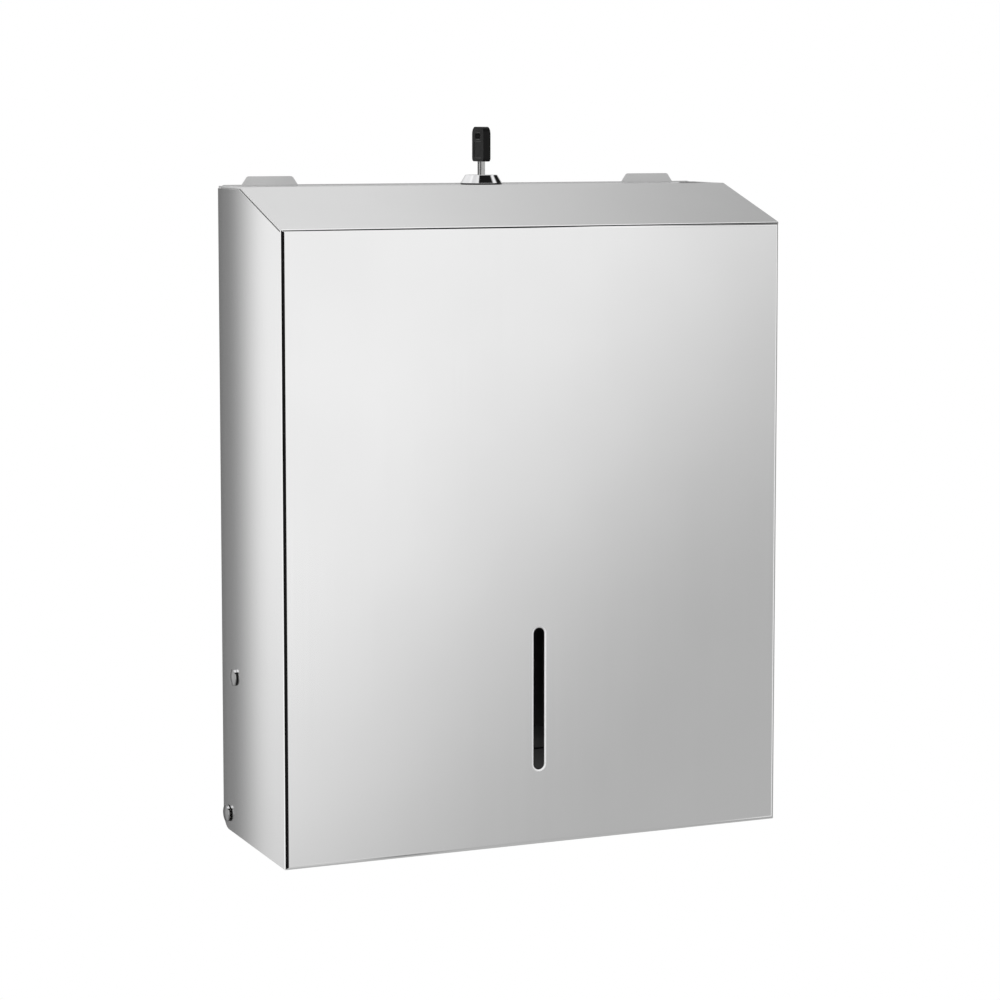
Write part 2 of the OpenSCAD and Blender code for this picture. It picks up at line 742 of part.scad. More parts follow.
front_cover();
back_plate();
towel_tray();
tray_rivets();
lock_strike();
strike_rivets();
pivot_bolt();  // pivot_bolt_left
right_side() pivot_bolt();  // pivot_bolt_right
pivot_nut();  // pivot_nut_left
right_side() pivot_nut();  // pivot_nut_right
pivot_bush();  // pivot_bush_left
right_side() pivot_bush();  // pivot_bush_right
stop_bolt();  // stop_bolt_left
right_side() stop_bolt();  // stop_bolt_right
stop_sleeve();  // stop_sleeve_left
right_side() stop_sleeve();  // stop_sleeve_right
stop_keeper();  // stop_keeper_left
right_side() stop_keeper();  // stop_keeper_right
stop_nut();  // stop_nut_left
right_side() stop_nut();  // stop_nut_right
lock_barrel();
lock_washer();
lock_nut();
lock_plug();
lock_wafers();
lock_cam();
cam_washer();
cam_screw();
key_blade();
key_head();
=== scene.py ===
import math

import bmesh
import bpy
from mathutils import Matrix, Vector


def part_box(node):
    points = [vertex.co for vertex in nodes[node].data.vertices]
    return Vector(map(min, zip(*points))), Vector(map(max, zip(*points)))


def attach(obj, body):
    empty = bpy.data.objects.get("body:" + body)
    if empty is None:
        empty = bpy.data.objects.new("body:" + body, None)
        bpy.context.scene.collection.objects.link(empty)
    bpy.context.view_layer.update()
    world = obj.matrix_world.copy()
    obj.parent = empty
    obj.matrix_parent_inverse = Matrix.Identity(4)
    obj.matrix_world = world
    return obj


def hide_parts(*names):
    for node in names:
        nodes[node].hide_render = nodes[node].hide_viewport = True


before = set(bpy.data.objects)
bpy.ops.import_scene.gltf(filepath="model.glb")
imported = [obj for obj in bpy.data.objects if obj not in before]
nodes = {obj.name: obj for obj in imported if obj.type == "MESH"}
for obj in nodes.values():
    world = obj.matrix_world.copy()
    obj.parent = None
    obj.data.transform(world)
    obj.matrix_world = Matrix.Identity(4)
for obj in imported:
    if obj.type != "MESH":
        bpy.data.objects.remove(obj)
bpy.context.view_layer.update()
scene = bpy.context.scene
mm = 0.001
placeDigits = 8     # points are rounded to this many decimals of a metre
print("frame loaded with", len(nodes), "nodes")


# outlines

def smoothRamp(low, high, value):
    t = min(max((value - low) / (high - low), 0), 1)
    return t * t * (3 - 2 * t)


def between(low, high, share):
    return low + (high - low) * share


def arcPoints(centre, radius, startAngle, endAngle, steps):
    angles = [math.radians(between(startAngle, endAngle, k / steps)) for k in range(steps + 1)]
    return [(centre[0] + radius * math.cos(a), centre[1] + radius * math.sin(a)) for a in angles]


def softOutline(rows, steps=4):
    # rows of (point, radius): each corner that has a radius becomes an arc
    points = []
    for i, (here, radius) in enumerate(rows):
        corner = Vector(here)
        if radius == 0:
            points.append(tuple(corner))
            continue
        back = (Vector(rows[i - 1][0]) - corner).normalized()
        ahead = (Vector(rows[(i + 1) % len(rows)][0]) - corner).normalized()
        half = back.angle(ahead) / 2
        centre = corner + (back + ahead).normalized() * radius / math.sin(half)
        first = corner + back * radius / math.tan(half) - centre
        last = corner + ahead * radius / math.tan(half) - centre
        start = math.atan2(first.y, first.x)
        sweep = (math.atan2(last.y, last.x) - start + math.pi) % (2 * math.pi) - math.pi
        points += arcPoints(centre, radius, math.degrees(start), math.degrees(start + sweep), steps)
    return points


def halfLoop(middle, width, height, radii, steps=8):
    # right half of a rounded rectangle, from its lowest point on the centre line to its highest
    u, v = middle
    lowRadius, highRadius = radii
    right = u + width / 2
    path = [(u, v - height / 2)]
    path += arcPoints((right - lowRadius, v - height / 2 + lowRadius), lowRadius, -90, 0, steps)
    path += arcPoints((right - highRadius, v + height / 2 - highRadius), highRadius, 0, 90, steps)
    path.append((u, v + height / 2))
    nearest = 1e-7
    return [p for k, p in enumerate(path) if k == 0 or math.dist(p, path[k - 1]) > nearest]


def middleOf(node):
    low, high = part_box(node)
    return (low + high) / 2


# meshes

def meshFromPolygons(name, polygons, materialRows=()):
    # one vertex for each place, so that faces that meet share their edges
    places = {}
    faces = []
    for polygon in polygons:
        keys = [tuple(round(c, placeDigits) for c in point) for point in polygon]
        faces.append([places.setdefault(key, len(places)) for key in keys])
    mesh = bpy.data.meshes.new(name)
    mesh.from_pydata(list(places), [], faces)
    for face, row in zip(mesh.polygons, materialRows):
        face.material_index = row
    mesh.update()
    return mesh


def faceOutwards(mesh):
    work = bmesh.new()
    work.from_mesh(mesh)
    bmesh.ops.recalc_face_normals(work, faces=work.faces)
    work.to_mesh(mesh)
    work.free()
    return mesh


def mirrored(polygons):
    return [[(-x, y, z) for x, y, z in reversed(points)] for points in polygons]


def addPiece(name, mesh, body, materials, replaced):
    piece = bpy.data.objects.new(name, mesh)
    scene.collection.objects.link(piece)
    for material in materials:
        mesh.materials.append(material)
    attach(piece, body)
    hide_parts(replaced)
    return piece


def roundEdges(piece, width, steps=2, angle=40, clamp=True):
    bevel = piece.modifiers.new("edges", "BEVEL")
    bevel.width = width
    bevel.segments = steps
    bevel.limit_method = "ANGLE"
    bevel.angle_limit = math.radians(angle)
    bevel.use_clamp_overlap = clamp
    return bevel


def flatNormals(piece, keepSharp=False):
    # broad faces keep their own direction and the narrow roundings between them blend
    for face in piece.data.polygons:
        face.use_smooth = True
    normals = piece.modifiers.new("normals", "WEIGHTED_NORMAL")
    normals.mode = "FACE_AREA"
    normals.weight = 80
    normals.keep_sharp = keepSharp


def smoothTurned(mesh, angle=32):
    for face in mesh.polygons:
        face.use_smooth = True
    mesh.set_sharp_from_angle(angle=math.radians(angle))


def ruleAt(rule, angle):
    return rule(angle) if callable(rule) else rule


def turned(name, profile, steps, place):
    # turns a closed (radius, height) outline; a radius or a height may be a rule of the angle
    polygons = []
    for k in range(steps):
        here = 2 * math.pi * k / steps
        there = 2 * math.pi * ((k + 1) % steps) / steps
        for i, row in enumerate(profile):
            follow = profile[(i + 1) % len(profile)]
            ring = []
            for (radius, height), a in ((row, here), (follow, here), (follow, there), (row, there)):
                r = ruleAt(radius, a)
                point = place(r * math.cos(a), r * math.sin(a), ruleAt(height, a))
                point = tuple(round(c, placeDigits) for c in point)
                if point not in ring:
                    ring.append(point)
            if len(ring) > 2:
                polygons.append(ring)
    mesh = faceOutwards(meshFromPolygons(name, polygons))
    smoothTurned(mesh)
    return mesh


def threadRows(radius, depth, pitch, start, end, turnSteps=6):
    # rows of a screw thread between two heights, which runs out at both ends
    count = round(abs(end - start) / pitch * turnSteps)
    rows = []
    for k in range(count + 1):
        height = between(start, end, k / count)
        fade = min(1, k / turnSteps, (count - k) / turnSteps)

        def groove(a, height=height, fade=fade):
            turn = (height / pitch - a / (2 * math.pi)) % 1
            return radius - depth * fade * abs(2 * turn - 1)

        rows.append((groove, height))
    return rows


# materials

noiseSpan = (0.3, 0.7)      # the part of the noise that a finish is spread over


def newMaterial(name):
    material = bpy.data.materials.new(name)
    material.use_nodes = True
    tree = material.node_tree
    return material, tree, tree.nodes["Principled BSDF"]


def cloud(tree, stretch, detail=3.0):
    # noise in the piece's own place; stretch is how many marks lie in a metre along each axis
    where = tree.nodes.new("ShaderNodeTexCoord")
    mapping = tree.nodes.new("ShaderNodeMapping")
    mapping.inputs["Scale"].default_value = stretch
    noise = tree.nodes.new("ShaderNodeTexNoise")
    noise.inputs["Scale"].default_value = 1.0
    noise.inputs["Detail"].default_value = detail
    tree.links.new(where.outputs["Object"], mapping.inputs["Vector"])
    tree.links.new(mapping.outputs["Vector"], noise.inputs["Vector"])
    return noise.outputs["Fac"]


def levels(tree, source, low, high):
    spread = tree.nodes.new("ShaderNodeMapRange")
    spread.inputs["From Min"].default_value = noiseSpan[0]
    spread.inputs["From Max"].default_value = noiseSpan[1]
    spread.inputs["To Min"].default_value = low
    spread.inputs["To Max"].default_value = high
    tree.links.new(source, spread.inputs["Value"])
    return spread.outputs["Result"]


def twoTones(tree, source, dark, light):
    ramp = tree.nodes.new("ShaderNodeValToRGB")
    for element, position, tone in zip(ramp.color_ramp.elements, noiseSpan, (dark, light)):
        element.position = position
        element.color = (*tone, 1)
    tree.links.new(source, ramp.inputs["Fac"])
    return ramp.outputs["Color"]


def relief(tree, shader, height, depth):
    bump = tree.nodes.new("ShaderNodeBump")
    bump.inputs["Distance"].default_value = depth
    tree.links.new(height, bump.inputs["Height"])
    tree.links.new(bump.outputs["Normal"], shader.inputs["Normal"])


def metal(name, tones, rough, grain, patch, ripple):
    # grain places the polishing marks, patch the slow changes of tone,
    # ripple gives the waves in a metre and their depth
    material, tree, shader = newMaterial(name)
    shader.inputs["Metallic"].default_value = 1.0
    tone = twoTones(tree, cloud(tree, (patch,) * 3), *tones)
    tree.links.new(tone, shader.inputs["Base Color"])
    tree.links.new(levels(tree, cloud(tree, grain, detail=4.0), *rough), shader.inputs["Roughness"])
    relief(tree, shader, cloud(tree, (ripple[0],) * 3, detail=1.0), ripple[1])
    return material


def plastic(name, tones, rough, gloss, grain, mottle=180):
    material, tree, shader = newMaterial(name)
    shader.inputs["Specular IOR Level"].default_value = gloss
    spots = cloud(tree, (mottle,) * 3)
    tree.links.new(twoTones(tree, spots, *tones), shader.inputs["Base Color"])
    tree.links.new(levels(tree, spots, *rough), shader.inputs["Roughness"])
    relief(tree, shader, cloud(tree, (grain[0],) * 3), grain[1])
    return material


def paintShadeInside(material, height, depth, rear, share):
    # painted shade inside the cover: below a height, and ahead of the rear face, the tone fades to a share
    # of itself
    tree = material.node_tree
    shader = tree.nodes["Principled BSDF"]
    tone = shader.inputs["Base Color"].links[0].from_socket
    where = tree.nodes.new("ShaderNodeTexCoord")
    split = tree.nodes.new("ShaderNodeSeparateXYZ")
    fade = tree.nodes.new("ShaderNodeMapRange")
    fade.inputs["From Min"].default_value = height - depth
    fade.inputs["From Max"].default_value = height
    fade.inputs["To Min"].default_value = share
    back = tree.nodes.new("ShaderNodeMath")
    back.operation = "GREATER_THAN"
    back.inputs[1].default_value = rear
    level = tree.nodes.new("ShaderNodeMath")
    level.operation = "MAXIMUM"
    shade = tree.nodes.new("ShaderNodeVectorMath")
    shade.operation = "SCALE"
    tree.links.new(where.outputs["Object"], split.inputs["Vector"])
    tree.links.new(split.outputs["Z"], fade.inputs["Value"])
    tree.links.new(split.outputs["Y"], back.inputs[0])
    tree.links.new(fade.outputs["Result"], level.inputs[0])
    tree.links.new(back.outputs["Value"], level.inputs[1])
    tree.links.new(tone, shade.inputs["Vector"])
    tree.links.new(level.outputs["Value"], shade.inputs["Scale"])
    tree.links.new(shade.outputs["Vector"], shader.inputs["Base Color"])


def grey(low, high, tint=0.0):
    return (low, low, low + tint), (high, high, high + tint)


coverSteel = metal("cover steel", tones=grey(0.87, 0.91), rough=(0.12, 0.15),
                   grain=(900, 900, 8), patch=9, ripple=(7, 2e-5))
# near black on the left upright fold: a painted dark reflection in the bend
foldPaintedReflection = metal("fold painted dark reflection", tones=grey(0.01, 0.014), rough=(0.2, 0.26),
                  grain=(300, 300, 20), patch=60, ripple=(20, 1e-6))
# a lighter copy of the cover steel on the window's dipped lip: painted highlight besides its real
# reflection
lipPaintedHighlightSteel = metal("window lip with painted highlight", tones=grey(0.92, 0.98), rough=(0.26, 0.34),
                 grain=(2500, 2500, 2500), patch=900, ripple=(2400, 1e-6))
cutSteel = metal("cut edge steel", tones=grey(0.76, 0.86), rough=(0.4, 0.52),
                 grain=(2500, 2500, 2500), patch=900, ripple=(2400, 2e-6))
# the cover's inner face: a duller finish, held darker still as painted shade inside the cover
insideSteelAndShade = metal("inside steel with painted shade", tones=grey(0.38, 0.46), rough=(0.34, 0.44),
                    grain=(500, 500, 9), patch=20, ripple=(16, 2e-5))
plateSteel = metal("plate steel", tones=grey(0.5, 0.58), rough=(0.27, 0.36),
                   grain=(8, 700, 700), patch=14, ripple=(18, 2e-5))
paintShadeInside(plateSteel, height=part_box("front_cover")[1].z, depth=20 * mm, rear=-0.6 * mm, share=0.4)
# near-black steel for the tray and strike inside the cover: painted shade
trayPaintedShadeSteel = metal("tray steel with painted shade", tones=grey(0.12, 0.16), rough=(0.36, 0.46),
                  grain=(8, 600, 600), patch=18, ripple=(18, 2e-5))
rivetSteel = metal("rivet steel", tones=grey(0.56, 0.64), rough=(0.24, 0.34),
                   grain=(1200, 1200, 1200), patch=300, ripple=(900, 4e-6))
# the bolts' chrome in lit and shaded copies: this darker copy on the domes is painted shade
boltSteel = metal("bolt steel", tones=grey(0.34, 0.42), rough=(0.06, 0.1),
                  grain=(1500, 1500, 1500), patch=400, ripple=(900, 1e-6))
# near black on the fronts of the bolt rims, under the heads and on the lock bezel's foot: painted dark
# reflection and painted shade
paintedDarkSteel = metal("painted dark rim and foot", tones=grey(0.012, 0.02), rough=(0.3, 0.4),
                 grain=(1500, 1500, 1500), patch=400, ripple=(900, 1e-6))
zincSteel = metal("zinc plate", tones=grey(0.56, 0.66, 0.03), rough=(0.24, 0.36),
                  grain=(900, 900, 900), patch=260, ripple=(700, 4e-6))
lockChrome = metal("lock chrome", tones=grey(0.82, 0.88, 0.01), rough=(0.04, 0.07),
                   grain=(800, 800, 800), patch=200, ripple=(300, 1e-6))
waferBrass = metal("wafer brass", tones=((0.7, 0.52, 0.22), (0.82, 0.64, 0.3)), rough=(0.25, 0.36),
                   grain=(1500, 1500, 300), patch=500, ripple=(900, 3e-6))
keyNickel = metal("key nickel", tones=((0.38, 0.38, 0.38), (0.48, 0.48, 0.47)), rough=(0.16, 0.27),
                  grain=(1800, 1800, 120), patch=420, ripple=(900, 3e-6))
whiteNylon = plastic("white nylon", tones=((0.82, 0.81, 0.75), (0.9, 0.89, 0.84)), rough=(0.4, 0.52),
                     gloss=0.45, grain=(1500, 1.5e-5))
keyPlastic = plastic("key plastic", tones=grey(0.002, 0.004), rough=(0.36, 0.48),
                     gloss=0.16, grain=(2600, 1e-5))
print("materials made")


# pivot and stop bolts with domed heads, and their nuts

boltSizes = dict(
    headRadius=4.5 * mm, headHeight=2.2 * mm, headRim=1.4 * mm, rimRound=0.35 * mm, footRound=0.15 * mm,
    # darkRim and darkNeck: how far the painted dark band reaches up the rim and down the neck; brightTop:
    # the upward lean of faces that get the painted highlight
    darkRim=dict(pivot=0.55 * mm, stop=0.75 * mm), darkNeck=0.5 * mm, brightTop=0.7,
    shoulder=2.5 * mm, thread=2.0 * mm, pitch=0.7 * mm, threadDepth=0.25 * mm,
    endChamfer=0.4 * mm, domeSteps=10, steps=48)
# plain: the darker dome copy; dark: painted dark reflection on the rim's front and painted shade under the
# head; bright: painted highlight on the rim's top
boltSkins = dict(plain=0, dark=1, bright=2)
nutSizes = dict(threadPlay=0.05 * mm, faceShare=0.97, chamferTilt=30, boreChamfer=0.3 * mm, steps=72)


def boltProfile(kind, shoulderLength, length, s=boltSizes):
    # (radius, height) with the head's seat at height 0
    rise = s["headHeight"] - s["headRim"]
    ball = (s["headRadius"] ** 2 + rise ** 2) / (2 * rise)
    reach = math.asin(s["headRadius"] / ball)
    rows = []
    for k in range(s["domeSteps"]):
        a = reach * k / s["domeSteps"]
        rows.append(((ball * math.sin(a), s["headHeight"] - ball * (1 - math.cos(a))), 0))
    rows.append(((s["headRadius"], s["headRim"]), s["rimRound"]))
    rows.append(((s["headRadius"], s["darkRim"][kind]), 0))
    rows.append(((s["headRadius"], 0), s["footRound"]))
    rows += [((s["shoulder"], -depth), 0) for depth in (0, s["darkNeck"], shoulderLength)]
    profile = softOutline(rows + [((0, -length), 0)])[:-1]
    profile += threadRows(s["thread"], s["threadDepth"], s["pitch"],
                          -shoulderLength, s["endChamfer"] - length)
    return profile + [(s["thread"] - s["endChamfer"], -length), (0, -length)]


def makeBolt(kind, side, hand, body, shoulderEnd):
    node = f"{kind}_bolt_{side}"
    low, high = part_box(node)
    middle = middleOf(node)
    tip = high.x if hand > 0 else low.x
    end = low.x if hand > 0 else high.x
    seat = tip - hand * boltSizes["headHeight"]
    profile = boltProfile(kind, abs(seat - shoulderEnd), abs(seat - end))
    mesh = turned(f"{kind}_screw_{side}", profile, boltSizes["steps"],
                  lambda u, v, h: (seat + hand * h, middle.y + u, middle.z + v))
    for face in mesh.polygons:
        rise = hand * (face.center.x - seat)
        skin = "plain"
        # upward faces of the rim take the brighter lock chrome as a painted highlight; the rest of the rim
        # and the neck are painted dark
        if 0 < rise < boltSizes["headRim"] and face.normal.z > boltSizes["brightTop"]:
            skin = "bright"
        elif -boltSizes["darkNeck"] < rise < boltSizes["darkRim"][kind]:
            skin = "dark"
        face.material_index = boltSkins[skin]
    addPiece(mesh.name, mesh, body, [boltSteel, paintedDarkSteel, lockChrome], node)


def hexProfile(flats, height, bore, s=nutSizes):
    face = flats / 2 * s["faceShare"]
    tilt = math.tan(math.radians(s["chamferTilt"]))
    ease = s["boreChamfer"]

    def corner(a):
        turn = (a + math.pi / 6) % (math.pi / 3) - math.pi / 6
        return flats / 2 / math.cos(math.pi / 6 - abs(turn))

    def lowEdge(a):
        return (corner(a) - face) * tilt

    def highEdge(a):
        return height - lowEdge(a)

    return [(bore + ease, 0), (face, 0), (corner, lowEdge), (corner, highEdge), (face, height),
            (bore + ease, height), (bore, height - ease), (bore, ease)]


def makeNut(kind, side, hand, body):
    node = f"{kind}_nut_{side}"
    low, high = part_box(node)
    middle = middleOf(node)
    profile = hexProfile(high.y - low.y, high.x - low.x, boltSizes["thread"] + nutSizes["threadPlay"])
    mesh = turned(f"{kind}_hex_{side}", profile, nutSizes["steps"],
                  lambda u, v, h: (low.x + h, middle.y + v, middle.z + u))
    addPiece(mesh.name, mesh, body, [zincSteel], node)


for side, hand in (("left", -1), ("right", 1)):
    makeBolt("pivot", side, hand, "wall_body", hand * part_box("towel_tray")[1].x)
    makeBolt("stop", side, hand, "cover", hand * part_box("stop_keeper_right")[1].x)
    makeNut("pivot", side, hand, "wall_body")
    makeNut("stop", side, hand, "cover")
print("bolts and nuts turned")


# lock barrel with its bezel and thread, and its nut

lockSizes = dict(
    plugLip=1.0 * mm, play=0.1 * mm, wall=1.9 * mm, headDepth=2.2 * mm,
    bezelFoot=0.9 * mm, bezelRim=1.5 * mm, topRound=0.4 * mm, footRound=0.2 * mm, lipRound=0.2 * mm,
    # darkFoot: the band at the bezel's foot that is painted near black, painted shade
    darkFoot=0.7 * mm,
    pitch=1.2 * mm, threadDepth=0.5 * mm, endChamfer=0.6 * mm, nutPlay=0.05 * mm, steps=96)
lockSkins = dict(chrome=0, dark=1)
lockAxis = middleOf("lock_nut")
plugHead = (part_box("lock_plug")[1].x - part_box("lock_plug")[0].x) / 2
barrelRadius = plugHead - lockSizes["plugLip"] + lockSizes["play"] + lockSizes["wall"]


def onLock(u, v, h):
    return lockAxis.x + u, lockAxis.y + v, h


def makeBarrel(s=lockSizes):
    low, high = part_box("lock_barrel")
    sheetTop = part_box("front_cover")[1].z
    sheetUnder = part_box("lock_washer")[1].z
    bore = plugHead - s["plugLip"] + s["play"]
    recess = plugHead + s["play"]
    bezel = (high.x - low.x) / 2
    rows = [((bezel, sheetTop), s["footRound"]),
            ((bezel, sheetTop + s["bezelFoot"]), s["footRound"]),
            ((recess + s["bezelRim"], high.z), s["topRound"]),
            ((recess, high.z), s["lipRound"]),
            ((recess, high.z - s["headDepth"]), 0),
            ((bore, high.z - s["headDepth"]), 0),
            ((bore, low.z), 0),
            ((barrelRadius - s["endChamfer"], low.z), 0)]
    profile = softOutline(rows, steps=5)
    profile += threadRows(barrelRadius, s["threadDepth"], s["pitch"], low.z + s["endChamfer"], sheetUnder)
    profile.append((barrelRadius, sheetTop))
    mesh = turned("lock_housing", profile, s["steps"], onLock)
    for face in mesh.polygons:
        # the band at the bezel's foot is painted near black: painted shade where the bezel meets the sheet
        skin = "dark" if 0 < face.center.z - sheetTop < s["darkFoot"] else "chrome"
        face.material_index = lockSkins[skin]
    piece = addPiece("lock_housing", mesh, "cover", [lockChrome, paintedDarkSteel], "lock_barrel")
    piece.visible_glossy = False    # no mirror image of lock and key in the sloped top
    flatNormals(piece, keepSharp=True)
    nutLow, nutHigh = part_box("lock_nut")
    nut = hexProfile(nutHigh.y - nutLow.y, nutHigh.z - nutLow.z, barrelRadius + s["nutPlay"])
    mesh = turned("lock_hex", nut, nutSizes["steps"], lambda u, v, h: onLock(u, v, nutLow.z + h))
    addPiece("lock_hex", mesh, "cover", [zincSteel], "lock_nut")


makeBarrel()
print("lock turned")


# key: milled blade with its cuts, and a moulded head with a sunk panel and a ring slot

keySizes = dict(
    tip=1.8 * mm, tipWidth=1.0 * mm, cuts=4, cutPitch=3.2 * mm, firstCut=11.9 * mm, cutDepth=0.707 * mm,
    grooves=((-1.2 * mm, 0.5 * mm), (-0.3 * mm, 1.4 * mm)), grooveWall=0.25 * mm, grooveDepth=0.42 * mm,
    bladeRound=0.1 * mm,
    headRadii=(2 * mm, 4 * mm), ringSlot=(7.6 * mm, 3.6 * mm), ringTop=3.2 * mm,
    panel=(11 * mm, 8.8 * mm), panelRise=1.9 * mm, panelRadius=1.6 * mm, panelDepth=0.4 * mm,
    headRound=0.35 * mm)


def makeBlade(s=keySizes):
    low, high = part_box("key_blade")
    half, thick = (high.y - low.y) / 2, (high.x - low.x) / 2
    stations = [(low.z, s["tipWidth"] / 2, 0), (low.z + s["tip"], half, 0)]
    for k in reversed(range(s["cuts"])):
        z = low.z + s["firstCut"] - k * s["cutPitch"]
        depth = s["cutDepth"]
        stations += [(z - depth, half, 0), (z, half, depth), (z + depth, half, 0)]
    stations.append((high.z, half, 0))

    def faceRow(station, hand):
        # across one face: edge, milled groove, edge
        z, width, cut = station
        start, end = [g * width / half for g in s["grooves"][0 if hand < 0 else 1]]
        wall = s["grooveWall"] * width / half
        ys = [-width, start, start + wall, end - wall, end, width - cut]
        depths = [0, 0, s["grooveDepth"], s["grooveDepth"], 0, 0]
        return [(hand * (thick - d), lockAxis.y + y, z) for y, d in zip(ys, depths)]

    loops = [faceRow(station, -1) + faceRow(station, 1)[::-1] for station in stations]
    polygons = [loops[0], loops[-1]]
    for one, two in zip(loops, loops[1:]):
        for k in range(len(one)):
            j = (k + 1) % len(one)
            polygons.append([one[k], one[j], two[j], two[k]])
    mesh = faceOutwards(meshFromPolygons("key_shank", polygons))
    piece = addPiece("key_shank", mesh, "key", [keyNickel], "key_blade")
    piece.visible_glossy = False
    roundEdges(piece, s["bladeRound"], steps=2, angle=35)
    flatNormals(piece)


def makeKeyHead(s=keySizes):
    low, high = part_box("key_head")
    middle = lockAxis.y
    width, height = high.y - low.y, high.z - low.z
    thick = high.x
    outer = halfLoop((0, (low.z + high.z) / 2), width, height, s["headRadii"])
    slotHeight = s["ringSlot"][1]
    slotZ = high.z - s["ringTop"] - slotHeight / 2
    slot = halfLoop((0, slotZ), *s["ringSlot"], (slotHeight / 2,) * 2)
    panelZ = low.z + s["panelRise"] + s["panel"][1] / 2
    panel = halfLoop((0, panelZ), *s["panel"], (s["panelRadius"],) * 2, steps=5)
    floor = thick - s["panelDepth"]

    def at(x, points, hand):
        return [(x, middle + hand * y, z) for y, z in points]

    polygons = []
    for hand in (-1, 1):
        polygons += [at(x, outer + slot[::-1] + panel[::-1], hand) for x in (-thick, thick)]
        polygons += [at(x, panel, hand) for x in (-floor, floor)]
        for path, x0, x1 in ((outer, -thick, thick), (slot, -thick, thick),
                             (panel, floor, thick), (panel, -floor, -thick)):
            for one, two in zip(path, path[1:]):
                corners = ((x0, one), (x0, two), (x1, two), (x1, one))
                polygons.append([at(x, [p], hand)[0] for x, p in corners])
    mesh = faceOutwards(meshFromPolygons("key_bow", polygons))
    piece = addPiece("key_bow", mesh, "key", [keyPlastic], "key_head")
    piece.visible_glossy = False
    roundEdges(piece, s["headRound"], steps=3, angle=50)
    flatNormals(piece)


makeBlade()
makeKeyHead()
print("key made")


# front cover: one folded sheet, drawn as its outer face and thickened inwards

coverSizes = dict(
    sheet=1.0 * mm, bend=2.4 * mm, frontSteps=8, cornerSteps=2, crownSteps=3, rearSteps=12, lockSteps=12,
    slopeRise=20 * mm, flatDepth=38.5 * mm, hemDepth=10 * mm, tabGap=1.8 * mm,
    windowWidth=6 * mm, windowLength=75 * mm, windowRise=77.5 * mm,
    windowLip=1.1 * mm, windowDip=0.34 * mm,
    seam=0.15 * mm, slopeSeam=0.65 * mm, bushWall=1.0 * mm, holePlay=0.05 * mm, edgeRound=0.22 * mm,
    # the last entry gives the steps of the left upright fold that are painted near black, a painted dark
    # reflection
    paintedReflectionSteps=(2, 7))
# fold is the painted dark reflection, lip the painted highlight on the window's lip, inside the inner face
# with painted shade
coverSkins = dict(steel=0, fold=1, lip=2, cut=3, inside=4)


def roundHole(middle, radius, steps=14):
    # left side of a hole from its lowest point up, and its right side from the top down
    return arcPoints(middle, radius, -90, -270, steps), arcPoints(middle, radius, 90, -90, steps)


